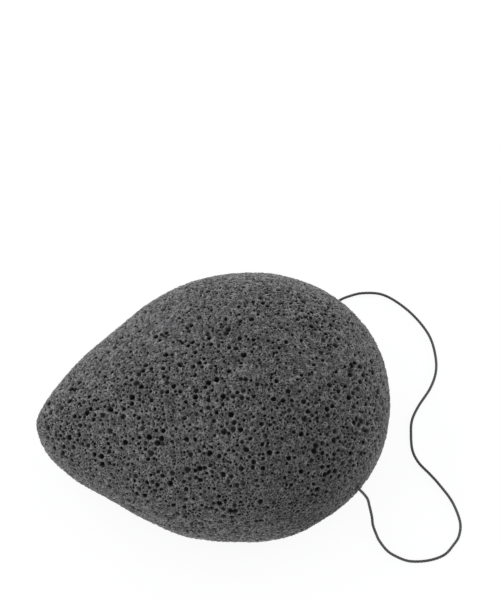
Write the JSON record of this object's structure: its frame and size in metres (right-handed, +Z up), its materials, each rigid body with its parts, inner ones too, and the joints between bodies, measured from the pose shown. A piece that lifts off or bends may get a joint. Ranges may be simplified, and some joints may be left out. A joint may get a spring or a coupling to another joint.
{
  "type": "konjac facial sponge",
  "caption": "Drop-shaped charcoal-grey foam sponge with a flat base and a limp string loop threaded across its blunt end.",
  "frame": {"origin": "centre of the sponge body's box on the plane that it rests on; the string loop isn't counted", "axes": "+X from the narrow tip towards the blunt end that carries the string, +Y across towards the string's far mouth, +Z up from the flat base to the crown"},
  "size_m": [0.1134, 0.0848, 0.039],
  "materials": {
    "konjac_foam": "matte open-celled fibrous foam, charcoal grey with near-black pores",
    "cord": "fine twisted string, matte dark grey"
  },
  "bodies": {
    "root": {"sponge_body": "konjac_foam", "hanging_cord": "cord", "threaded_cord": "cord", "cord_knot": "cord"}
  },
  "joints": []
}
